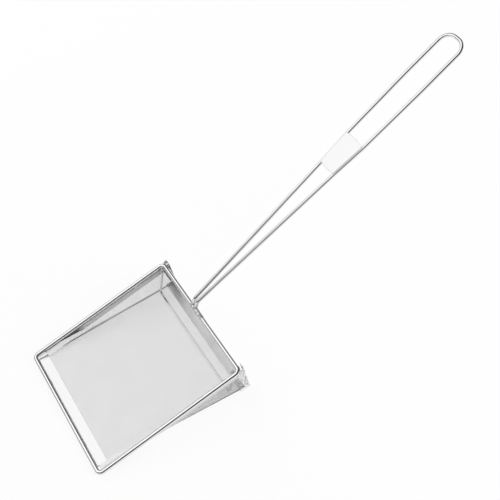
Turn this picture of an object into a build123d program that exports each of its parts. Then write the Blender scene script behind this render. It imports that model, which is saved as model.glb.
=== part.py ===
from build123d import *
import math
import os

# A square fine-mesh scoop with a long two-wire handle, in millimetres.
# The pieces are laid out in the rim's own frame: X across the scoop, Y from the front rim
# wire to the back one, Z up out of the rim's plane. The finished pieces are then turned
# about X, so that the flat underside lies level on Z = 0, and moved, so that the origin
# is the middle of the front strip's underside.

# Rim wire
rim_width = 200.0
rim_length = 204.0
rim_wire_d = 6.0
rim_corner_r = 6.0
rim_butt_gap = 0.6
rim_butt_x = 1.5

# Wire cloth and the folded sheet strips that bind its edges
cloth_t = 0.6
sheet_t = 0.5
fold_gap = 0.1
seat_gap = 0.1
slot_run = 1.5
pan_depth = 44.0
wall_inset = 1.5
floor_left_front_inset = 5.35
floor_right_front_inset = 13.5
floor_rear_inset = 2.1
cloth_front_y = 1.0
side_cloth_front_gap = 1.0

# Front strip and the tapering corner pieces on its ends
front_strip_w = 17.0
front_strip_lip = 2.0
front_strip_inset = 8.55
front_strip_shift = -4.05
corner_piece_front_y = 4.5
corner_piece_middle_y = 37.0
corner_piece_rear_y = 66.5
corner_piece_front_inset = 12.75
corner_piece_tip_inset = 6.15
corner_piece_tip_drop = 11.0
corner_piece_tip_h = 3.1
corner_piece_outer_drop = 2.6
corner_piece_outer_gap = 0.4
corner_piece_slit = 0.4
corner_piece_shift = -2.05

# Side strips, back strip, rear floor strip and the upright corner strips
side_strip_h = 8.0
side_strip_front_h = 2.9
side_strip_front_y = 14.0
left_strip_narrow_y = 20.0
left_strip_full_y = 42.0
right_strip_narrow_y = 68.0
right_strip_full_y = 110.0
side_strip_rear_gap = 6.0
wall_fold_clearance = 0.6
wall_fold_level_y = 120.0
wall_fold_rear_drop = 21.0
back_strip_h = 9.0
back_strip_inset = 7.0
rear_strip_w = 13.0
rear_strip_up = 7.0
rear_tab_h = 5.0
corner_strip_leg = 6.0
corner_strip_rear_leg = 8.0
corner_strip_rise = 2.2
corner_strip_lean = 5.8
corner_strip_side_top = 4.2
corner_strip_lip_out = 1.8
corner_strip_lip_l = 4.4

# Bent wire under the food, from one rear corner of the rim to the other
brace_wire_d = 2.8
brace_floor_from_rear = 25.4
brace_top_from_rear = 7.0
brace_corner_r = 7.0
brace_top_drop = 1.3
brace_side_gap = 1.2

# Handle, one wire bent double
handle_wire_d = 5.0
handle_x = -15.9
handle_tilt = 15.6
handle_rise = 6.3
handle_length = 456.0
foot_t = 8.5
foot_half = 3.4
plate_near_t = 240.0
plate_near_half = 13.6
plate_far_t = 287.0
plate_far_half = 16.6
grip_from_end = 71.0
grip_half = 18.2
loop_half = 17.9
loop_corner_r = 15.0
foot_bend_r = 6.0
sway_r = 260.0

# Plate across the handle wires
plate_t = 1.0
plate_corner_r = 1.5
plate_bow = 1.2
plate_seat = 0.05

# Welds
foot_weld_low_r = 3.3
foot_weld_top_r = 2.8
foot_weld_h = 3.4
foot_weld_low = 1.5
brace_weld_r = 2.6
butt_weld_half = 7.5
butt_weld_x = -1.2
butt_weld_proud = 0.45
butt_weld_ripples = 6
weld_clearance = 0.05
plate_weld_d = 1.6
plate_weld_l = 9.0
plate_weld_end_gap = 7.0
tack_weld_l = 7.0
tack_weld_d = 1.6
tack_weld_in = 1.9
back_tack_weld_in = 1.0
tack_weld_sunk = 0.35
side_tack_front_y = 92.0
side_tack_rear_y = 158.0
end_tack_x = 52.0
cutter_past_share = 3.0

# Worked out from the sizes above
rim_r = rim_wire_d / 2
handle_r = handle_wire_d / 2
brace_r = brace_wire_d / 2
half_width = rim_width / 2
wall_x = half_width - wall_inset
floor_left_front = half_width - floor_left_front_inset
floor_right_front = half_width - floor_right_front_inset
floor_rear_half = half_width - floor_rear_inset
front_strip_half = half_width - front_strip_inset
back_strip_half = half_width - back_strip_inset
brace_floor_y = rim_length - brace_floor_from_rear
brace_top_y = rim_length - brace_top_from_rear
grip_t = handle_length - grip_from_end
slot_t = cloth_t + fold_gap * 2
channel_t = slot_t + sheet_t * 2
cloth_to_outside = cloth_t / 2 + fold_gap + sheet_t
floor_front_z = -(rim_r + seat_gap + cloth_to_outside)
floor_rear_z = -pan_depth
floor_slope = (floor_rear_z - floor_front_z) / rim_length
floor_pitch = math.degrees(math.atan(-floor_slope))
strip_top_z = -(rim_r + seat_gap)
side_strip_bottom_z = strip_top_z - side_strip_h
cloth_top_z = strip_top_z - sheet_t - slot_run
cloth_rear_y = rim_length - cloth_t / 2 - fold_gap
front_strip_rear_y = front_strip_w - front_strip_lip
side_cloth_front_y = front_strip_rear_y + side_cloth_front_gap
back_strip_top_z = -(rim_r + butt_weld_proud + seat_gap)


def floor_z(y):
    """Height of the floor cloth's middle plane at a distance behind the front wire."""
    return floor_front_z + floor_slope * y


def side_strip_low(side, y):
    """Height of a side strip's lower edge: narrow in front, then widening to its full height."""
    narrow_y, full_y = (
        (left_strip_narrow_y, left_strip_full_y) if side < 0 else (right_strip_narrow_y, right_strip_full_y)
    )
    share = min(max((y - narrow_y) / (full_y - narrow_y), 0), 1)
    return strip_top_z - side_strip_front_h - (side_strip_h - side_strip_front_h) * share


def fold_z(side, y):
    """Height of the upper fold of a side wall, which falls towards the rear."""
    share = max((y - wall_fold_level_y) / (cloth_rear_y - wall_fold_level_y), 0)
    level = side_strip_low(side, y) - wall_fold_clearance
    return level + (-wall_fold_rear_drop - level) * share


def floor_edge(side, y):
    """Distance of the floor's folded edge from the middle, which grows towards the rear."""
    front_half = floor_left_front if side < 0 else floor_right_front
    return side * (front_half + (floor_rear_half - front_half) * y / rim_length)


def floor_up():
    """Direction square to the floor."""
    pitch = math.radians(floor_pitch)
    return Vector(0, math.sin(pitch), math.cos(pitch))


def on_floor(x, y, above=0.0):
    """Point at a height above the floor cloth's middle plane, measured square to it."""
    return Vector(x, y, floor_z(y)) + floor_up() * above


def rounded_path(points, radii):
    """Open path of straight runs, with an arc of its own radius at each inner corner."""
    corners = [Vector(*p) for p in points]
    edges = []
    start = corners[0]
    for i in range(1, len(corners) - 1):
        back = (corners[i - 1] - corners[i]).normalized()
        ahead = (corners[i + 1] - corners[i]).normalized()
        half_angle = math.radians(back.get_angle(ahead)) / 2
        reach = radii[i - 1] / math.tan(half_angle)
        middle = (back + ahead).normalized()
        drop = radii[i - 1] / math.sin(half_angle) - radii[i - 1]
        arc_in = corners[i] + back * reach
        arc_out = corners[i] + ahead * reach
        edges.append(Edge.make_line(start, arc_in))
        edges.append(Edge.make_three_point_arc(arc_in, corners[i] + middle * drop, arc_out))
        start = arc_out
    edges.append(Edge.make_line(start, corners[-1]))
    return Wire(edges)


def round_wire(path, diameter):
    """Solid round wire along a path."""
    section = Plane(path @ 0, z_dir=path % 0) * Circle(diameter / 2)
    return sweep(section, path=path).solid()


def slab(points, up, thickness):
    """Flat sheet: an outline of points in one plane, thickened towards up."""
    outline = Polyline(*points, close=True)
    return extrude(make_face(outline), amount=thickness, dir=up).solid()


def between(lower, upper):
    """Solid between two outlines that have the same number of points."""
    ends = [make_face(Polyline(*points, close=True)) for points in (lower, upper)]
    return loft(ends, ruled=True).solid()


def offset_line(points, distance):
    """Points of an X-Z line moved sideways by a distance, with mitred corners."""
    sides = []
    for (x0, z0), (x1, z1) in zip(points, points[1:]):
        run = math.hypot(x1 - x0, z1 - z0)
        sides.append((-(z1 - z0) / run, (x1 - x0) / run))
    moved = [(points[0][0] + sides[0][0] * distance, points[0][1] + sides[0][1] * distance)]
    for (ax, az), (bx, bz), (x, z) in zip(sides, sides[1:], points[1:]):
        stretch = distance / (1 + ax * bx + az * bz)
        moved.append((x + (ax + bx) * stretch, z + (az + bz) * stretch))
    last_x, last_z = sides[-1]
    moved.append((points[-1][0] + last_x * distance, points[-1][1] + last_z * distance))
    return moved


# Rim: one round wire bent to a rectangle, its two ends meeting in the middle of the back
def make_rim_wire():
    right_end = rim_butt_x + rim_butt_gap / 2
    left_end = rim_butt_x - rim_butt_gap / 2
    path = rounded_path(
        [
            (right_end, rim_length, 0),
            (half_width, rim_length, 0),
            (half_width, 0, 0),
            (-half_width, 0, 0),
            (-half_width, rim_length, 0),
            (left_end, rim_length, 0),
        ],
        [rim_corner_r] * 4,
    )
    return round_wire(path, rim_wire_d)


# Rough rippled weld round the rim wire's joint
def make_rim_butt_weld():
    inner = rim_r + weld_clearance
    crest = rim_r + butt_weld_proud
    trough = (inner + crest) / 2
    step = butt_weld_half * 2 / butt_weld_ripples
    left = butt_weld_x - butt_weld_half
    edges = [Edge.make_line((left, inner, 0), (left, trough, 0))]
    for i in range(butt_weld_ripples):
        x = left + step * i
        arc = [(x, trough, 0), (x + step / 2, crest, 0), (x + step, trough, 0)]
        edges.append(Edge.make_three_point_arc(*arc))
    right = left + step * butt_weld_ripples
    edges.append(Edge.make_line((right, trough, 0), (right, inner, 0)))
    edges.append(Edge.make_line((right, inner, 0), (left, inner, 0)))
    collar = revolve(make_face(edges), axis=Axis.X, revolution_arc=360)
    return (Pos(0, rim_length, 0) * collar).solid()


# Wire cloth: one sheet with the floor and both side walls folded up from it
def tray_section(y):
    line = [
        (-wall_x, cloth_top_z),
        (-wall_x, fold_z(-1, y)),
        (floor_edge(-1, y), floor_z(y)),
        (floor_edge(1, y), floor_z(y)),
        (wall_x, fold_z(1, y)),
        (wall_x, cloth_top_z),
    ]
    outside = offset_line(line, -cloth_t / 2)
    inside = offset_line(line, cloth_t / 2)
    return [(x, y, z) for x, z in outside + inside[::-1]]


def floor_section(y):
    left = floor_edge(-1, y)
    right = floor_edge(1, y)
    low = floor_z(y) - cloth_t / 2
    high = floor_z(y) + cloth_t / 2
    return [(left, y, low), (right, y, low), (right, y, high), (left, y, high)]


def make_cloth_tray():
    tray = between(floor_section(cloth_front_y), floor_section(side_cloth_front_y))
    left_bends = [left_strip_narrow_y, left_strip_full_y]
    right_bends = [right_strip_narrow_y, right_strip_full_y]
    places = [side_cloth_front_y, *left_bends, *right_bends, wall_fold_level_y, cloth_rear_y]
    for near, far in zip(places, places[1:]):
        tray += between(tray_section(near), tray_section(far))
    return tray.solid()


# Wire cloth of the upright back wall, square to the rim
def make_back_cloth():
    half = floor_rear_half - cloth_t - fold_gap
    low = floor_rear_z - cloth_t / 2
    points = [(-half, cloth_top_z), (half, cloth_top_z), (half, low), (-half, low)]
    front_y = rim_length - cloth_t / 2
    return slab([(x, front_y, z) for x, z in points], (0, 1, 0), cloth_t)


# Folded strip on the front edge of the floor, a flat channel that passes under the rim wire
def make_front_strip():
    outer = []
    slot = []
    left = front_strip_shift - front_strip_half
    front_y = -front_strip_lip
    rear_y = front_y + front_strip_w
    for y, above in ((front_y, -1), (rear_y, -1), (rear_y, 1), (front_y, 1)):
        outer.append(on_floor(left, y, above * channel_t / 2))
    slot_front_y = cloth_front_y - fold_gap
    for y, above in ((slot_front_y, -1), (rear_y + sheet_t, -1), (rear_y + sheet_t, 1), (slot_front_y, 1)):
        slot.append(on_floor(left, y, above * slot_t / 2))
    across = front_strip_half * 2
    return (slab(outer, (1, 0, 0), across) - slab(slot, (1, 0, 0), across)).solid()


# Tapering pieces that close the front corners. Each starts as a narrow tab beside the end of
# the front strip, widens behind it, and twists up to stand against the side strip. Its outer
# edge is tucked in under the rim's side wire
def make_corner_piece(side):
    outer_x = side * (wall_x - channel_t / 2 - corner_piece_outer_gap)
    front_x = side * (half_width - corner_piece_front_inset) + corner_piece_shift
    tip_x = side * (half_width - corner_piece_tip_inset) + corner_piece_shift
    front_z = on_floor(0, corner_piece_front_y, channel_t / 2 + seat_gap).Z
    tip_z = -corner_piece_tip_drop
    share = (corner_piece_middle_y - corner_piece_front_y) / (corner_piece_rear_y - corner_piece_front_y)
    middle_x = front_x + (tip_x - front_x) * share
    middle_z = front_z + (tip_z - front_z) * share
    tip_top_x = outer_x - side * corner_piece_outer_gap
    rows = [
        (corner_piece_front_y, (front_x, front_z), (outer_x, -corner_piece_outer_drop)),
        (corner_piece_middle_y, (middle_x, middle_z), (outer_x, -corner_piece_outer_drop)),
        (corner_piece_rear_y, (tip_x, tip_z), (tip_top_x, tip_z + corner_piece_tip_h)),
    ]
    sections = []
    for y, inner, outer in rows:
        line = [inner, outer]
        lower = line if side > 0 else line[::-1]
        upper = offset_line(lower, sheet_t)
        sections.append([(x, y, z) for x, z in lower + upper[::-1]])
    piece = between(sections[0], sections[1]) + between(sections[1], sections[2])
    strip_end = front_strip_shift + side * (front_strip_half + corner_piece_slit)
    notch_x = strip_end - side * corner_piece_front_inset
    notch_front_y = corner_piece_front_y - corner_piece_slit
    notch_rear_y = front_strip_rear_y + corner_piece_slit
    corners = [
        (notch_x, notch_front_y, tip_z),
        (strip_end, notch_front_y, tip_z),
        (strip_end, notch_rear_y, tip_z),
        (notch_x, notch_rear_y, tip_z),
    ]
    notch = slab(corners, (0, 0, 1), corner_piece_tip_drop)
    return (piece - notch).solid()


# Folded strips on the top edges of the side walls, hanging below the rim's side wires
def make_side_strip(side):
    rear_y = rim_length - side_strip_rear_gap
    narrow_y = left_strip_narrow_y if side < 0 else right_strip_narrow_y
    full_y = left_strip_full_y if side < 0 else right_strip_full_y
    lower = [(y, side_strip_low(side, y)) for y in (rear_y, full_y, narrow_y, side_strip_front_y)]
    profile = [(side_strip_front_y, strip_top_z), (rear_y, strip_top_z), *lower]
    start_x = side * wall_x - channel_t / 2
    outer = slab([(start_x, y, z) for y, z in profile], (1, 0, 0), channel_t)
    slot_x = side * wall_x - slot_t / 2
    slot_top = strip_top_z - sheet_t
    slot_low = side_strip_bottom_z - sheet_t
    slot_front = side_cloth_front_y - slot_run
    slot_rear = rear_y + sheet_t
    slot = [(slot_front, slot_top), (slot_rear, slot_top), (slot_rear, slot_low), (slot_front, slot_low)]
    return (outer - slab([(slot_x, y, z) for y, z in slot], (1, 0, 0), slot_t)).solid()


# Folded strip on the top edge of the back wall, under the rim's back wire
def make_back_strip():
    top = back_strip_top_z
    low = top - back_strip_h
    front_y = rim_length - channel_t / 2
    slot_y = rim_length - slot_t / 2
    half = back_strip_half
    outline = [(-half, top), (half, top), (half, low), (-half, low)]
    outer = slab([(x, front_y, z) for x, z in outline], (0, 1, 0), channel_t)
    slot_top = top - sheet_t
    reach = half + sheet_t
    slot = [(-reach, slot_top), (reach, slot_top), (reach, low - sheet_t), (-reach, low - sheet_t)]
    return (outer - slab([(x, slot_y, z) for x, z in slot], (0, 1, 0), slot_t)).solid()


# Angle strip that joins the floor to the back wall, with its ends turned up the side walls
def make_rear_floor_strip():
    half = floor_rear_half + cloth_to_outside + fold_gap
    back_in_y = rim_length + cloth_t / 2 + fold_gap
    back_out_y = back_in_y + sheet_t
    front_y = rim_length - rear_strip_w
    leg = slab(
        [
            on_floor(-half, front_y, -cloth_to_outside),
            on_floor(half, front_y, -cloth_to_outside),
            on_floor(half, back_out_y, -cloth_to_outside),
            on_floor(-half, back_out_y, -cloth_to_outside),
        ],
        floor_up(),
        sheet_t,
    )
    foot_z = floor_z(back_out_y) - cloth_to_outside
    upright = Box(half * 2, sheet_t, rear_strip_up)
    upright = Pos(0, (back_in_y + back_out_y) / 2, foot_z + rear_strip_up / 2) * upright
    strip = leg + upright
    for side in (-1, 1):
        inner_x = side * (half - sheet_t)
        tab = slab(
            [
                on_floor(inner_x, front_y, -cloth_to_outside),
                on_floor(inner_x, back_out_y, -cloth_to_outside),
                on_floor(inner_x, back_out_y, rear_tab_h - cloth_to_outside),
                on_floor(inner_x, front_y, rear_tab_h - cloth_to_outside),
            ],
            (side, 0, 0),
            sheet_t,
        )
        strip += tab
    return strip.solid()


# Upright angle strips on the rear corners, between the side walls and the back wall. Each
# leans back, so that its top end passes behind the rim wire and shows above it
def make_corner_strip(side):
    side_x = wall_x + cloth_t / 2 + fold_gap
    outer_x = side_x + sheet_t
    inner_x = outer_x - corner_strip_rear_leg
    foot_y = rim_length + cloth_t / 2 + fold_gap
    low = floor_rear_z + rear_strip_up - cloth_to_outside + fold_gap
    top = corner_strip_rise
    lean = corner_strip_lean / (top - low)
    side_top_y = foot_y + (-corner_strip_side_top - low) * lean
    head_y = foot_y + corner_strip_lean
    rear_leg = slab(
        [
            (side * inner_x, foot_y, low),
            (side * outer_x, foot_y, low),
            (side * outer_x, head_y, top),
            (side * inner_x, head_y, top),
        ],
        (0, 1, 0),
        sheet_t,
    )
    side_leg = slab(
        [
            (side * side_x, foot_y - corner_strip_leg, low),
            (side * side_x, foot_y + sheet_t / 2, low),
            (side * side_x, side_top_y + sheet_t / 2, -corner_strip_side_top),
            (side * side_x, foot_y - corner_strip_leg, -corner_strip_side_top),
        ],
        (side, 0, 0),
        sheet_t,
    )
    lip_x = side * (outer_x + corner_strip_lip_out)
    lip = slab(
        [
            (lip_x, side_top_y - corner_strip_lip_l, -corner_strip_side_top),
            (lip_x, side_top_y + sheet_t, -corner_strip_side_top),
            (lip_x, head_y + sheet_t, top),
            (lip_x, head_y - corner_strip_lip_l, top),
        ],
        (-side, 0, 0),
        sheet_t,
    )
    bridge = slab(
        [
            (side * side_x, side_top_y, -corner_strip_side_top),
            (lip_x, side_top_y, -corner_strip_side_top),
            (lip_x, head_y, top),
            (side * side_x, head_y, top),
        ],
        (0, 1, 0),
        sheet_t,
    )
    return (rear_leg + side_leg + bridge + lip).solid()


# Round brace wire inside the cloth, down one side wall, across the floor and up the other
def brace_x():
    """Distance of the brace wire's two legs from the middle."""
    return floor_edge(1, brace_floor_y) - cloth_t / 2 - fold_gap - brace_r - brace_side_gap


def make_brace_wire():
    above = cloth_t / 2 + fold_gap + brace_r
    x = brace_x()
    floor_point = on_floor(x, brace_floor_y, above)
    top = Vector(x, brace_top_y, -(rim_r + brace_top_drop))
    points = [
        (-x, top.Y, top.Z),
        (-x, floor_point.Y, floor_point.Z),
        (x, floor_point.Y, floor_point.Z),
        (x, top.Y, top.Z),
    ]
    return round_wire(rounded_path(points, [brace_corner_r] * 2), brace_wire_d)


# Weld beads between the brace wire's ends and the rim
def make_brace_weld(side, rim_wire, brace_wire):
    bead = Pos(side * brace_x(), brace_top_y, -rim_r) * Sphere(brace_weld_r)
    return (bead - rim_wire - brace_wire).solid()


# Handle: one wire bent double, in the handle's own frame (X across, Y along, Z up from it)
handle_place = Pos(handle_x, rim_length, handle_rise) * Rot(handle_tilt, 0, 0)


def rim_in_handle():
    """Place of the rim's back wire in the handle's frame, along and up."""
    tilt = math.radians(handle_tilt)
    return -handle_rise * math.sin(tilt), -handle_rise * math.cos(tilt)


def foot_end():
    """Where a handle wire's end stands on the rim wire, in the handle's frame."""
    rim_t, rim_h = rim_in_handle()
    run = math.hypot(foot_t - rim_t, rim_h)
    share = (rim_r + seat_gap) / run
    return rim_t + (foot_t - rim_t) * share, rim_h - rim_h * share


def make_handle_wire():
    end_t, end_h = foot_end()
    one_side = [
        (foot_half, end_t, end_h),
        (foot_half, foot_t, 0),
        (plate_near_half, plate_near_t, 0),
        (plate_far_half, plate_far_t, 0),
        (grip_half, grip_t, 0),
        (loop_half, handle_length, 0),
    ]
    radii = [foot_bend_r, sway_r, sway_r, sway_r, loop_corner_r]
    points = [(-x, y, z) for x, y, z in one_side] + one_side[::-1]
    return handle_place * round_wire(rounded_path(points, radii + radii[::-1]), handle_wire_d)


# Plain plate that bridges the two handle wires
def make_handle_plate():
    low_h = handle_r + plate_seat
    bow_t = plate_near_t - plate_bow
    outline = [
        Edge.make_three_point_arc(
            (-plate_near_half, plate_near_t, low_h),
            (0, bow_t, low_h),
            (plate_near_half, plate_near_t, low_h),
        ),
        Edge.make_line((plate_near_half, plate_near_t, low_h), (plate_far_half, plate_far_t, low_h)),
        Edge.make_three_point_arc(
            (plate_far_half, plate_far_t, low_h),
            (0, plate_far_t + plate_bow, low_h),
            (-plate_far_half, plate_far_t, low_h),
        ),
        Edge.make_line((-plate_far_half, plate_far_t, low_h), (-plate_near_half, plate_near_t, low_h)),
    ]
    plate = extrude(make_face(outline), amount=plate_t, dir=(0, 0, 1))
    plate = fillet(plate.edges().filter_by(Axis.Z), plate_corner_r)
    return handle_place * plate.solid()


# Short weld runs between the plate's underside and the inner faces of the wires
def make_plate_welds():
    welds = []
    taper = (plate_far_half - plate_near_half) / (plate_far_t - plate_near_t)
    low_h = handle_r - plate_weld_d / 2
    inside = math.sqrt((handle_r + plate_weld_d / 2) ** 2 - low_h**2) + seat_gap
    for start_t in (plate_near_t + plate_weld_end_gap, plate_far_t - plate_weld_end_gap - plate_weld_l):
        for side in (-1, 1):
            half = plate_near_half + taper * (start_t - plate_near_t) - inside
            path = Edge.make_line(
                (side * half, start_t, low_h),
                (side * (half + taper * plate_weld_l), start_t + plate_weld_l, low_h),
            )
            welds.append(handle_place * round_wire(Wire([path]), plate_weld_d))
    return Compound(children=welds)


# Saddle-shaped weld rings round the handle wire's two ends, where they stand on the rim
def make_foot_welds():
    end_t, end_h = foot_end()
    rim_t, rim_h = rim_in_handle()
    upward = Vector(0, end_t - rim_t, end_h - rim_h).normalized()
    inner = handle_r + weld_clearance
    past = foot_weld_h * cutter_past_share
    rim = Pos(0, rim_t, rim_h) * Rot(0, 90, 0) * Cylinder(rim_r + weld_clearance, past * 2)
    rings = []
    for side in (-1, 1):
        foot = Plane(origin=(side * foot_half, end_t, end_h), z_dir=upward)
        ring = Cone(foot_weld_low_r, foot_weld_top_r, foot_weld_h)
        ring = foot * Pos(0, 0, foot_weld_h / 2 - foot_weld_low) * ring
        ring -= foot * Cylinder(inner, past)
        ring -= rim
        rings.append(handle_place * ring.solid())
    return Compound(children=rings)


# Short tack welds between the rim wire's underside and the folded strips
def make_tack_welds(rim_wire, strips):
    side_x = half_width - tack_weld_in
    back_y = rim_length - back_tack_weld_in
    side_z = strip_top_z + tack_weld_sunk
    back_z = back_strip_top_z + tack_weld_sunk
    front_z = on_floor(0, tack_weld_in, channel_t / 2).Z + tack_weld_sunk
    across = Vector(tack_weld_l / 2, 0, 0)
    along = Vector(0, tack_weld_l / 2, 0)
    beads = []
    for side in (-1, 1):
        beads.append((Vector(side * side_x, side_tack_front_y, side_z), along))
        beads.append((Vector(side * side_x, side_tack_rear_y, side_z), along))
        beads.append((Vector(side * end_tack_x, tack_weld_in, front_z), across))
        beads.append((Vector(side * end_tack_x, back_y, back_z), across))
    welds = []
    for middle, reach in beads:
        path = Edge.make_line(middle - reach, middle + reach)
        bead = round_wire(Wire([path]), tack_weld_d) - rim_wire
        for strip in strips:
            bead -= strip
        welds.append(bead.solid())
    return Compound(children=welds)


# Whole scoop
def make_scoop():
    rim_wire = make_rim_wire()
    brace_wire = make_brace_wire()
    brace_welds = [make_brace_weld(side, rim_wire, brace_wire) for side in (-1, 1)]
    front_strip = make_front_strip()
    side_strips = [make_side_strip(side) for side in (-1, 1)]
    back_strip = make_back_strip()
    return {
        "rim_wire": rim_wire,
        "rim_butt_weld": make_rim_butt_weld(),
        "cloth_tray": make_cloth_tray(),
        "back_cloth": make_back_cloth(),
        "front_strip": front_strip,
        "left_corner_piece": make_corner_piece(-1),
        "right_corner_piece": make_corner_piece(1),
        "left_side_strip": side_strips[0],
        "right_side_strip": side_strips[1],
        "back_strip": back_strip,
        "rear_floor_strip": make_rear_floor_strip(),
        "left_corner_strip": make_corner_strip(-1),
        "right_corner_strip": make_corner_strip(1),
        "strip_tack_welds": make_tack_welds(rim_wire, [front_strip, *side_strips, back_strip]),
        "brace_wire": brace_wire,
        "brace_welds": Compound(children=brace_welds),
        "handle_wire": make_handle_wire(),
        "handle_foot_welds": make_foot_welds(),
        "handle_plate": make_handle_plate(),
        "handle_plate_welds": make_plate_welds(),
    }


# Turn the scoop level and move its origin to the middle of the front strip's underside
def level_place():
    pitch = math.radians(floor_pitch)
    rest = on_floor(0, front_strip_w / 2 - front_strip_lip, -cloth_to_outside)
    y = rest.Y * math.cos(pitch) - rest.Z * math.sin(pitch)
    z = rest.Y * math.sin(pitch) + rest.Z * math.cos(pitch)
    return Pos(0, -y, -z) * Rot(floor_pitch, 0, 0)


os.makedirs("parts", exist_ok=True)
place = level_place()
for name, shape in make_scoop().items():
    export_step(place * shape, f"parts/{name}.step")
    print(name, len(shape.solids()), round(shape.volume, 1))
print("rim plane's pitch", round(floor_pitch, 3), "origin shift", place.position)
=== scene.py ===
# %% [markdown]
# # A square mesh scoop with a long wire handle
# This lesson dresses a finished CAD model: a kitchen scoop of fine woven stainless cloth on a
# heavy rim wire, with a handle bent from one long wire. The CAD part gives every size. Blender
# adds the camera, the light, the finish of each metal and the weave of the cloth.

# %% Load the CAD part
import math

import bmesh
import bpy
from mathutils import Matrix, Vector, noise


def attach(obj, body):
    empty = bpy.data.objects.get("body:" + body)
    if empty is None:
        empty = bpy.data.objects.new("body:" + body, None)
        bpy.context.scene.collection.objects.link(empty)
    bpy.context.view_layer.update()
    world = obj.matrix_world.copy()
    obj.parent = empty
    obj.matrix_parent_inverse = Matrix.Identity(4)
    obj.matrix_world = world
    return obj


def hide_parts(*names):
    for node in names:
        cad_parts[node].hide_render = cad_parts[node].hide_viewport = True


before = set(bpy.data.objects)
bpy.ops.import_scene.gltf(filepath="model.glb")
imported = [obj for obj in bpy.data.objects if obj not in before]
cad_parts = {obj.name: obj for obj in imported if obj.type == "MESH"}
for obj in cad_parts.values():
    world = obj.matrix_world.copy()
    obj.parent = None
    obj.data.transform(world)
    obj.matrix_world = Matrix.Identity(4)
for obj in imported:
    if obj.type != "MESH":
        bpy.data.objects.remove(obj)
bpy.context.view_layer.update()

# %% [markdown]
# ## Camera
# A camera is easiest to place the way a photographer does: choose the point it looks at, then
# walk round it. Azimuth 0 looks along +Y, towards the handle, and 90 looks along -X. Here the
# camera stands at the scoop's right, well above it, and is turned a little about its own view
# line. A 72 mm lens on a 36 mm sensor sees about 28 degrees.

# %% Camera
aim = Vector((-0.0086, 0.2811, 0.1))
distance = 1.2299
azimuth = math.radians(69.453)
elevation = math.radians(51.071)
roll = math.radians(12.916)

towards_camera = Vector((
    math.sin(azimuth) * math.cos(elevation),
    -math.cos(azimuth) * math.cos(elevation),
    math.sin(elevation),
))
camera = bpy.data.objects.new("camera", bpy.data.cameras.new("camera"))
camera.data.lens = 72
camera.data.sensor_width = 36
camera.rotation_mode = "QUATERNION"
camera.location = aim + towards_camera * distance
facing = (-towards_camera).to_track_quat("-Z", "Y")
camera.rotation_quaternion = facing @ Matrix.Rotation(-roll, 3, "Z").to_quaternion()
bpy.context.scene.collection.objects.link(camera)
bpy.context.scene.camera = camera
bpy.context.scene.view_settings.view_transform = "Standard"
print("camera at", [round(v, 3) for v in camera.location])

# %% [markdown]
# ## Two small helpers for materials
# Colours are written as the hex codes that a paint program shows. Blender's sockets take linear
# light, so one function turns the first into the second. The other function adds a shader node.
# It takes the node's own settings, and a list of its inputs. An input is a plain value, a socket
# of another node, or another node, which stands for its first output.

# %% Helpers for colours and nodes
def linear(code):
    """The linear RGBA of an sRGB hex code such as #C8CACC."""
    shares = [int(code[i:i + 2], 16) / 255 for i in (1, 3, 5)]
    return [s / 12.92 if s <= 0.04045 else ((s + 0.055) / 1.055) ** 2.4 for s in shares] + [1]


def add(tree, kind, settings={}, inputs={}):
    """A new shader node in a tree, with its settings and its inputs."""
    made = tree.nodes.new("ShaderNode" + kind)
    for name, value in settings.items():
        setattr(made, name, value)
    for name, value in inputs.items():
        if isinstance(value, bpy.types.Node):
            value = value.outputs[0]
        if isinstance(value, bpy.types.NodeSocket):
            tree.links.new(value, made.inputs[name])
        else:
            made.inputs[name].default_value = value
    return made


def new_material(name):
    """An empty node material and its tree."""
    made = bpy.data.materials.new(name)
    made.use_nodes = True
    made.node_tree.nodes.clear()
    return made, made.node_tree


print("linear mid grey:", [round(v, 3) for v in linear("#808080")])

# %% [markdown]
# ## Stage
# The scoop stands on a plain white table that turns up into a white wall all round, like a
# photographer's sweep. The shape is one disc whose rim is drawn outwards and upwards in short
# steps round a quarter circle, so that no edge shows where the table ends.

# %% White sweep
stage_radius = 4.0
wall_height = 0.7
bend_radius = 0.5
bend_steps = 8
corners_round = 96

sweep = bmesh.new()
bmesh.ops.create_circle(
    sweep, cap_ends=True, segments=corners_round, radius=stage_radius - bend_radius,
)
edges = [e for e in sweep.edges]
for i in range(bend_steps):
    grown = bmesh.ops.extrude_edge_only(sweep, edges=edges)["geom"]
    edges = [e for e in grown if isinstance(e, bmesh.types.BMEdge)]
    turn = math.pi / 2 * (i + 1) / bend_steps
    reach = stage_radius - bend_radius + bend_radius * math.sin(turn)
    for v in grown:
        if isinstance(v, bmesh.types.BMVert):
            flat = Vector((v.co.x, v.co.y, 0)).normalized() * reach
            v.co = flat + Vector((0, 0, bend_radius * (1 - math.cos(turn))))
grown = bmesh.ops.extrude_edge_only(sweep, edges=edges)["geom"]
for v in grown:
    if isinstance(v, bmesh.types.BMVert):
        v.co.z = wall_height
bmesh.ops.recalc_face_normals(sweep, faces=sweep.faces)
mesh = bpy.data.meshes.new("sweep")
sweep.to_mesh(mesh)
sweep.free()
floor = bpy.data.objects.new("floor", mesh)
bpy.context.scene.collection.objects.link(floor)
print("sweep faces:", len(mesh.polygons))

# %% [markdown]
# The table is painted matt white. A photographer lights a white sweep until it is just pure
# white in the picture, and the metal mirrors that same white. The light path node does this
# without extra lamps: rays from the camera, from shiny metal and through gaps see mostly a plain
# white glow of strength 1. A small share of real paint is kept in the mix, so that the table
# still takes the soft shadow under the pan.

# %% Matt white paint
kept_paint = 0.12

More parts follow.
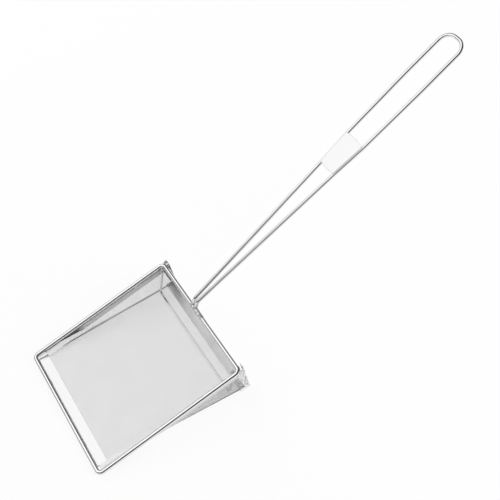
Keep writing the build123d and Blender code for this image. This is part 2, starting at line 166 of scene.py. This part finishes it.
paint, tree = new_material("matt_white_paint")
ray = add(tree, "LightPath").outputs
seen = add(tree, "Math", {"operation": "MAXIMUM"}, {
    0: ray["Is Camera Ray"], 1: ray["Is Glossy Ray"],
})
seen = add(tree, "Math", {"operation": "MAXIMUM"}, {0: seen, 1: ray["Is Transmission Ray"]})
glowing = add(tree, "Math", {"operation": "MULTIPLY"}, {0: seen, 1: 1 - kept_paint})
diffuse = add(tree, "BsdfDiffuse", {}, {"Color": linear("#F8F8F8")})
glow = add(tree, "Emission", {}, {"Color": (1, 1, 1, 1), "Strength": 1.0})
mix = add(tree, "MixShader", {}, {0: glowing, 1: diffuse, 2: glow})
add(tree, "OutputMaterial", {}, {"Surface": mix})
floor.data.materials.append(paint)
print("share of paint kept in the table's white:", kept_paint)

# %% [markdown]
# ## Light
# Bright metal shows its surroundings, so the light is placed for what the wires mirror. One
# large soft box hangs overhead, a little towards the front and the left. The level front strip
# and the tilted handle plate both mirror it, and turn an even white. A smaller box stands far to
# the right and behind the pan, and a weak one to the left. They light the twisted corner pieces,
# and are left out of what the metal mirrors, because the image of the small right one sparkled on
# the front strip, by way of the wires. The room itself stays dark, and shows as dark lines along
# each wire.
#
# The lamps are only as strong as a plain level needs. If the table were all paint, its written
# grey of 248 would come out between 240 and 250 in open places.

# %% Lamps and room
def soft_box(name, place, target, width, height, watts, mirrored=True):
    """A rectangular area lamp that points at a target. Metal can mirror it or not."""
    lamp = bpy.data.lights.new(name, "AREA")
    lamp.shape = "RECTANGLE"
    lamp.size = width
    lamp.size_y = height
    lamp.energy = watts
    holder = bpy.data.objects.new(name, lamp)
    holder.location = place
    holder.rotation_mode = "QUATERNION"
    holder.rotation_quaternion = (Vector(target) - Vector(place)).to_track_quat("-Z", "Y")
    holder.visible_glossy = mirrored
    bpy.context.scene.collection.objects.link(holder)
    print(name, "radiance", round(watts / (math.pi * width * height), 3))


middle = (0, 0.2, 0.05)
soft_box("overhead_box", (-0.85, -0.5, 2.2), middle, 3.3, 3.0, 39)
soft_box("side_box", (1.6, 1.8, 1.5), middle, 1.3, 2.4, 60, mirrored=False)
soft_box("fill_box", (-2.0, 0.1, 1.0), middle, 1.5, 1.5, 16, mirrored=False)

room_grey = "#484848"

room = bpy.data.worlds.new("room")
room.use_nodes = True
bpy.context.scene.world = room
room.node_tree.nodes.clear()
grey = add(room.node_tree, "Background", {}, {"Color": linear(room_grey), "Strength": 1.0})
add(room.node_tree, "OutputWorld", {}, {"Surface": grey})
print("room grey, linear:", round(linear(room_grey)[0], 3))

# %% [markdown]
# ## Helpers for pieces
# A finish goes on a CAD node by its material slot only, and the node's mesh is left alone. Where
# a real piece has softer edges than the CAD solid, a copy stands in for the node: its seams are
# merged, flat neighbours are joined, and every sharp edge gets a small round bevel. That is how
# sheared and folded sheet catches thin lines of light along its edges. A wire's copy is shaded as
# one round surface, so that a mirrored edge of the light runs along it as an even line.

# %% Helpers for pieces
same_place = 1e-6
flat_angle = math.radians(1)
folded_angle = math.radians(30)
crisp_angle = math.radians(40)


def finish_nodes(names, material):
    """Gives CAD nodes one material."""
    for name in names:
        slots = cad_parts[name].data.materials
        slots.clear()
        slots.append(material)


def merged_copy(name):
    """The CAD node's shape as a closed bmesh in the shared frame."""
    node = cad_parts[name]
    copy = bmesh.new()
    copy.from_mesh(node.data)
    copy.transform(node.matrix_world)
    bmesh.ops.remove_doubles(copy, verts=copy.verts, dist=same_place)
    return copy


def stand_in(copy, name, material):
    """Puts a finished bmesh in the scene in place of the CAD node."""
    bmesh.ops.recalc_face_normals(copy, faces=copy.faces)
    mesh = bpy.data.meshes.new(name + "_finished")
    copy.to_mesh(mesh)
    copy.free()
    mesh.materials.append(material)
    piece = bpy.data.objects.new(name + "_finished", mesh)
    bpy.context.scene.collection.objects.link(piece)
    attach(piece, "root")
    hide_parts(name)
    return piece


def soften(name, width, material):
    """A stand-in for a sheet node with small round edges."""
    copy = merged_copy(name)
    bmesh.ops.dissolve_limit(copy, angle_limit=flat_angle, verts=copy.verts, edges=copy.edges)
    joined = [e for e in copy.edges if len(e.link_faces) == 2]
    sharp = [e for e in joined if e.calc_face_angle() > folded_angle]
    bmesh.ops.bevel(
        copy, geom=sharp, offset=width, affect="EDGES", segments=2, profile=0.5,
        clamp_overlap=True, material=-1,
    )
    piece = stand_in(copy, name, material)
    print(name, "bevelled edges:", len(sharp), "faces:", len(piece.data.polygons))


def round_off(name, material):
    """A stand-in for a wire node, shaded as a round surface with crisp cut ends."""
    copy = merged_copy(name)
    for face in copy.faces:
        face.smooth = True
    for edge in copy.edges:
        edge.smooth = len(edge.link_faces) == 2 and edge.calc_face_angle() < crisp_angle
    crisp = sum(not edge.smooth for edge in copy.edges)
    piece = stand_in(copy, name, material)
    print(name, "faces:", len(piece.data.polygons), "crisp edges:", crisp)


print("CAD nodes to finish:", ", ".join(sorted(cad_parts)))

# %% [markdown]
# ## Polished drawn wire
# The rim, the brace and the handle are stainless wire, drawn through dies and then polished
# bright. The metal is almost a mirror, so its own colour hardly shows. Polishing by hand leaves
# it a little uneven, and the noise varies the roughness over about three centimetres. That lets the
# dark core line along each wire widen and fade instead of running like a ruled line.

# %% Polished drawn wire
polish_patch = 0.03
dent_depth = 0.0002

polished, tree = new_material("stainless_wire_drawn_and_polished")
place = add(tree, "TexCoord").outputs["Object"]
uneven = add(tree, "TexNoise", {}, {"Vector": place, "Scale": 1 / polish_patch, "Detail": 1.0})
rough = add(tree, "MapRange", {}, {"Value": uneven, "To Min": 0.06, "To Max": 0.15})
dent = add(tree, "Bump", {}, {"Height": uneven, "Strength": 0.05, "Distance": dent_depth})
steel = add(tree, "BsdfPrincipled", {}, {
    "Base Color": linear("#E4E4E4"), "Metallic": 1.0, "Roughness": rough, "Normal": dent,
})
add(tree, "OutputMaterial", {}, {"Surface": steel})
for name in ("rim_wire", "handle_wire", "brace_wire"):
    round_off(name, polished)
print("wire patches of about", polish_patch * 1000, "mm")

# %% [markdown]
# ## Bright rolled sheet
# The strips that bind the cloth and the plate on the handle are thin stainless sheet with the
# bright finish of the rolling mill. Rolling leaves very fine lengthwise lines, much too fine to
# see one by one from here, so they are drawn coarser, about 0.8 mm apart. They give the eye a
# satin sheen instead of a hard mirror.

# %% Bright rolled sheet
line_spacing = 0.0008
line_length = 0.016

rolled, tree = new_material("stainless_sheet_bright_rolled")
place = add(tree, "TexCoord").outputs["Object"]
scale = (1 / line_length, 1 / line_spacing, 1 / line_spacing)
lengthwise = add(tree, "Mapping", {}, {"Vector": place, "Scale": scale})
lines = add(tree, "TexNoise", {}, {"Vector": lengthwise, "Scale": 1.0, "Detail": 2.0})
rough = add(tree, "MapRange", {}, {"Value": lines, "To Min": 0.24, "To Max": 0.27})
steel = add(tree, "BsdfPrincipled", {}, {
    "Base Color": linear("#E0E0E0"), "Metallic": 1.0, "Roughness": rough,
})
add(tree, "OutputMaterial", {}, {"Surface": steel})

sheet_edge = 0.00012
plate_edge = 0.0003
soften("front_strip", sheet_edge, rolled)
soften("handle_plate", plate_edge, rolled)

# %% [markdown]
# The strips round the walls look duller. They were folded over the cloth in a press, brushed
# along their length and never polished again. So their finish is rougher, and a little of the light
# is scattered instead of mirrored. Their narrow front ends sit close to the corner pieces. There
# their colour is painted darker: a painted shade for the deep wedge beside each corner piece.

# %% Brushed sheet
brush_spacing = 0.0006
brush_length = 0.02
# Where the painted shade on the strips' front ends stops, and over what length it fades.
painted_shade_until = 0.055
painted_shade_fades = 0.012

brushed, tree = new_material("stainless_sheet_folded_and_brushed")
place = add(tree, "TexCoord").outputs["Object"]
scale = (1 / brush_length, 1 / brush_length, 1 / brush_spacing)
lengthwise = add(tree, "Mapping", {}, {"Vector": place, "Scale": scale})
lines = add(tree, "TexNoise", {}, {"Vector": lengthwise, "Scale": 1.0, "Detail": 2.0})
rough = add(tree, "MapRange", {}, {"Value": lines, "To Min": 0.3, "To Max": 0.38})
where = add(tree, "SeparateXYZ", {}, {0: place}).outputs
# The front ends are painted darker than the rest, a painted shade for the wedge beside each corner piece.
painted_shade_span = {"Value": where["Y"], "From Min": painted_shade_until, "From Max": painted_shade_until + painted_shade_fades}
unshaded = add(tree, "MapRange", {}, painted_shade_span)
tint = add(tree, "Mix", {"data_type": "RGBA"}, {
    "Factor": unshaded, "A": linear("#707070"), "B": linear("#D2D2D2"),
}).outputs["Result"]
steel = add(tree, "BsdfPrincipled", {}, {"Base Color": tint, "Metallic": 0.9, "Roughness": rough})
add(tree, "OutputMaterial", {}, {"Surface": steel})
for name in ("left_side_strip", "right_side_strip"):
    soften(name, sheet_edge, brushed)

# %% [markdown]
# The corner pieces and the two strips at the back are pickled sheet: an acid bath takes off the
# scale and leaves the metal matt and pale. It stays light at any angle, also behind the cloth.

# %% Pickled sheet
pickle_grain = 0.0015

pickled, tree = new_material("stainless_sheet_pickled_matt")
place = add(tree, "TexCoord").outputs["Object"]
grain = add(tree, "TexNoise", {}, {"Vector": place, "Scale": 1 / pickle_grain, "Detail": 2.0})
rough = add(tree, "MapRange", {}, {"Value": grain, "To Min": 0.5, "To Max": 0.7})
steel = add(tree, "BsdfPrincipled", {}, {
    "Base Color": linear("#FAFAFA"), "Metallic": 0.1, "Roughness": rough,
})
add(tree, "OutputMaterial", {}, {"Surface": steel})
for name in ("left_corner_piece", "right_corner_piece", "back_strip", "rear_floor_strip"):
    soften(name, sheet_edge, pickled)

# %% [markdown]
# ## Welds
# The joint of the rim wire is a rough bead, laid by hand and only brushed afterwards. Its CAD
# collar is copied, cut finer and pushed in and out along its normals by two sizes of noise, which
# makes the lumps of a real bead. The small welds keep their CAD shape. All share one dull grey
# finish with dark hollows, since the brush doesn't reach into them.

# %% Brushed weld metal
weld_grain = 0.002
hollow_depth = 0.0004

weld, tree = new_material("stainless_weld_bead_brushed")
place = add(tree, "TexCoord").outputs["Object"]
lumps = add(tree, "TexNoise", {}, {"Vector": place, "Scale": 1 / weld_grain, "Detail": 3.0})
tone = add(tree, "MapRange", {}, {
    "Value": lumps, "From Min": 0.35, "From Max": 0.65, "To Min": 0.4, "To Max": 1.0,
})
colour = add(tree, "CombineColor", {}, {"Red": tone, "Green": tone, "Blue": tone})
bump = add(tree, "Bump", {}, {"Height": lumps, "Strength": 0.5, "Distance": hollow_depth})
steel = add(tree, "BsdfPrincipled", {}, {
    "Base Color": colour, "Metallic": 1.0, "Roughness": 0.4, "Normal": bump,
})
add(tree, "OutputMaterial", {}, {"Surface": steel})
finish_nodes(["strip_tack_welds", "brace_welds", "handle_foot_welds", "handle_plate_welds"], weld)

# The corner strips take the dull grey finish of the welds, so they are darker than the other sheet.
for name in ("left_corner_strip", "right_corner_strip"):
    soften(name, sheet_edge, weld)

# %% Lumpy bead on the rim's joint
lump_size = 0.0028
lump_height = 0.0004
lump_cap = 0.3
finer = 3

bead = merged_copy("rim_butt_weld")
bmesh.ops.triangulate(bead, faces=bead.faces)
long_edges = [e for e in bead.edges if e.calc_length() > lump_size / 2]
bmesh.ops.subdivide_edges(bead, edges=long_edges, cuts=2, use_grid_fill=True)
bead.normal_update()
moves = []
for v in bead.verts:
    height = noise.noise(v.co / lump_size) + noise.noise(v.co / lump_size * finer) / finer
    moves.append((v, v.normal * min(height, lump_cap) * lump_height))
for v, move in moves:
    v.co += move
piece = stand_in(bead, "rim_butt_weld", weld)
for face in piece.data.polygons:
    face.use_smooth = True
print("bead faces:", len(piece.data.polygons))

# %% [markdown]
# ## Woven wire cloth
# The cloth is a plain weave: every thread goes over one crossing thread and under the next. The
# CAD cloth is a closed sheet 0.6 mm thick, so the weave is drawn on it by a see-through pattern.
# The real cloth is taken to have about 0.7 mm from thread to thread. That is finer than one pixel
# of the picture, so it is drawn coarser, at 1.32 mm, with the same share of open area.
#
# The pattern measures the distance to the nearest thread along two directions. A face turned
# sideways takes its height for the direction that it lacks. Only the sheet's inward side is
# drawn, or the eye would see two layers of thread where the real cloth has one.

# %% Threads of the cloth
thread_pitch = 0.00132
thread_width = 0.00032
upright_from = 0.7

cloth, tree = new_material("stainless_wire_cloth_woven")
place = add(tree, "TexCoord").outputs["Object"]
where = add(tree, "SeparateXYZ", {}, {0: place}).outputs
facing = add(tree, "NewGeometry").outputs
normal = facing["True Normal"]
pointing = add(tree, "SeparateXYZ", {}, {0: normal}).outputs


def thread_place(flat_axis, facing_axis):
    """Place across a set of threads: along the flat axis, or up a face turned to the other."""
    tilt = add(tree, "Math", {"operation": "ABSOLUTE"}, {0: pointing[facing_axis]})
    upright = add(tree, "Math", {"operation": "GREATER_THAN"}, {0: tilt, 1: upright_from})
    return add(tree, "Mix", {}, {"Factor": upright, "A": where[flat_axis], "B": where["Z"]})


across = thread_place("X", "X")
along = thread_place("Y", "Y")
threads = []
for spot in (across, along):
    off = add(tree, "Math", {"operation": "PINGPONG"}, {0: spot, 1: thread_pitch / 2})
    threads.append(add(tree, "Math", {"operation": "LESS_THAN"}, {0: off, 1: thread_width / 2}))
woven = add(tree, "Math", {"operation": "MAXIMUM"}, {0: threads[0], 1: threads[1]})
print("open share of the cloth:", round((1 - thread_width / thread_pitch) ** 2, 3))

# %% [markdown]
# Where a sheet of cloth is folded, its threads crowd together, and the fold shows as a darker
# line. The floor's two folds are straight lines, a little apart towards the rear. The left one
# runs almost along the pan, and the right one opens more, since the sheet lies askew in its rim.

# %% Folds of the cloth
fold_half = 0.0006
fold_height = 0.004
left_fold, left_spread = 0.0948, 0.0156
right_fold, right_spread = 0.0869, 0.0548

folds = []
for sign, fold, spread in ((-1, left_fold, left_spread), (1, right_fold, right_spread)):
    line = add(tree, "Math", {"operation": "MULTIPLY_ADD"}, {
        0: where["Y"], 1: sign * spread, 2: sign * fold,
    })
    near = {0: where["X"], 1: line, 2: fold_half}
    folds.append(add(tree, "Math", {"operation": "COMPARE"}, near))
beside = add(tree, "Math", {"operation": "MAXIMUM"}, {0: folds[0], 1: folds[1]})
low = add(tree, "Math", {"operation": "LESS_THAN"}, {0: where["Z"], 1: fold_height})
crowded = add(tree, "Math", {"operation": "MULTIPLY"}, {0: beside, 1: low})
dense = add(tree, "Math", {"operation": "MAXIMUM"}, {0: woven, 1: crowded})
print("fold lines are", fold_half * 2000, "mm wide")

# %% [markdown]
# A surface is told to a shader as it meets the eye, with its normal turned round where the eye
# is behind it. The backfacing switch undoes that, so that the inward side stays the same one from
# every direction.

# %% Metal of the cloth
# From this depth to the rear the cloth gets a lighter colour as painted light, and smoother threads.
painted_light_from = 0.188
rear_band_roughness = 0.33
patches_per_metre = 45.0
pan_middle = (0, 0.1, 0.03)

to_middle = add(tree, "VectorMath", {"operation": "SUBTRACT"}, {0: pan_middle, 1: place})
inward = add(tree, "VectorMath", {"operation": "DOT_PRODUCT"}, {0: to_middle, 1: normal}).outputs["Value"]
turned = add(tree, "Math", {"operation": "MULTIPLY_ADD"}, {0: facing["Backfacing"], 1: -2.0, 2: 1.0})
inward = add(tree, "Math", {"operation": "MULTIPLY"}, {0: inward, 1: turned})
inner = add(tree, "Math", {"operation": "GREATER_THAN"}, {0: inward, 1: 0.0})
drawn = add(tree, "Math", {"operation": "MULTIPLY"}, {0: dense, 1: inner})

# Handling leaves broad soft patches in the sheen, about 22 mm wide.
patches = add(tree, "TexNoise", {}, {"Vector": place, "Scale": patches_per_metre, "Detail": 2.0})
rough = add(tree, "MapRange", {}, {"Value": patches, "To Min": 0.5, "To Max": 0.75})

# Over the rear strip and up the back wall the cloth's colour is painted lighter, a painted
# light on that band, and its threads are smoother and more metallic there, so they mirror the light.
painted_light_band = add(tree, "Math", {"operation": "GREATER_THAN"}, {0: where["Y"], 1: painted_light_from})
# Painted light: the rear band's colour is lighter than the rest of the cloth.
bright = add(tree, "Mix", {"data_type": "RGBA"}, {
    "Factor": painted_light_band, "A": linear("#D6D6D6"), "B": linear("#FCFCFC"),
}).outputs["Result"]

# The outside of the cloth is painted darker, a painted shade for the shaded outer side of its threads.
colour = add(tree, "Mix", {"data_type": "RGBA"}, {
    "Factor": facing["Backfacing"], "A": bright, "B": linear("#888888"),
}).outputs["Result"]
cloth_roughness = add(tree, "Mix", {}, {"Factor": painted_light_band, "A": rough, "B": rear_band_roughness})
metal = add(tree, "MapRange", {}, {"Value": painted_light_band, "To Min": 0.8, "To Max": 1.0})
steel = add(tree, "BsdfPrincipled", {}, {
    "Base Color": colour, "Metallic": metal, "Roughness": cloth_roughness, "Alpha": drawn,
})
add(tree, "OutputMaterial", {}, {"Surface": steel})
finish_nodes(["cloth_tray", "back_cloth"], cloth)
print("cloth nodes in the tree:", len(tree.nodes))
